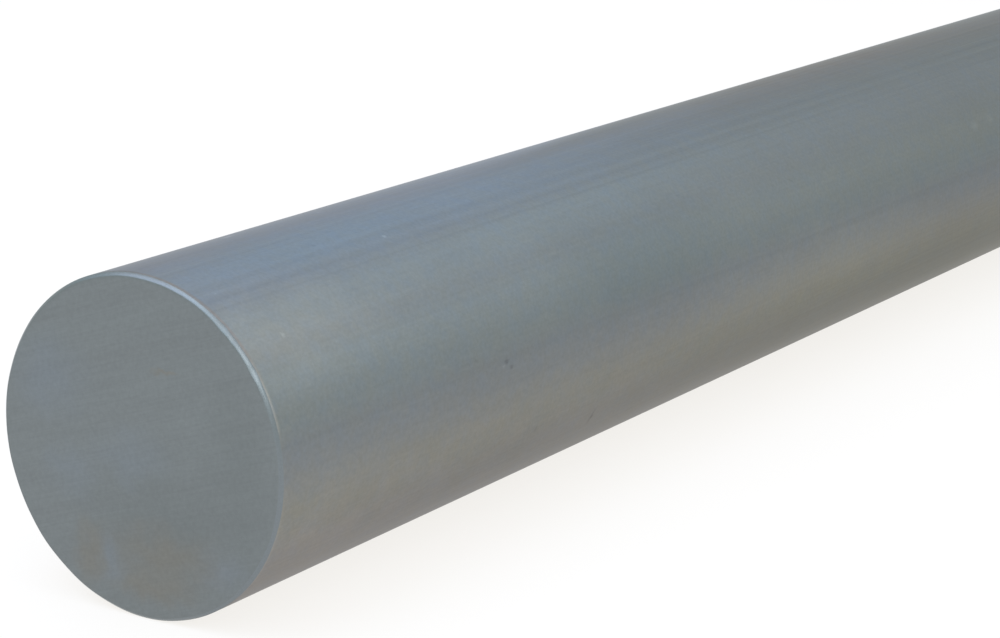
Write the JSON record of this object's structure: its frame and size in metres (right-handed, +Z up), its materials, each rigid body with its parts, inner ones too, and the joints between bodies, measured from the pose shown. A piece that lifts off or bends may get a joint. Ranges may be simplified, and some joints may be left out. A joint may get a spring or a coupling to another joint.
{
  "type": "aluminium round bar",
  "caption": "Solid round bar of extruded aluminium with square sawn ends and filed edges, stock for turning and fabrication.",
  "frame": {"origin": "midway along the line on which the bar lies, on the floor below the middle of its axis", "axes": "+X along the bar's axis, away from the sawn end that the picture shows; +Z up from the floor; the bar lies on its side"},
  "size_m": [1, 0.1, 0.0998],
  "materials": {
    "mill_finish_aluminium": "extruded mill finish, sawn ends"
  },
  "bodies": {
    "root": {"round_bar": "mill_finish_aluminium"}
  },
  "joints": []
}
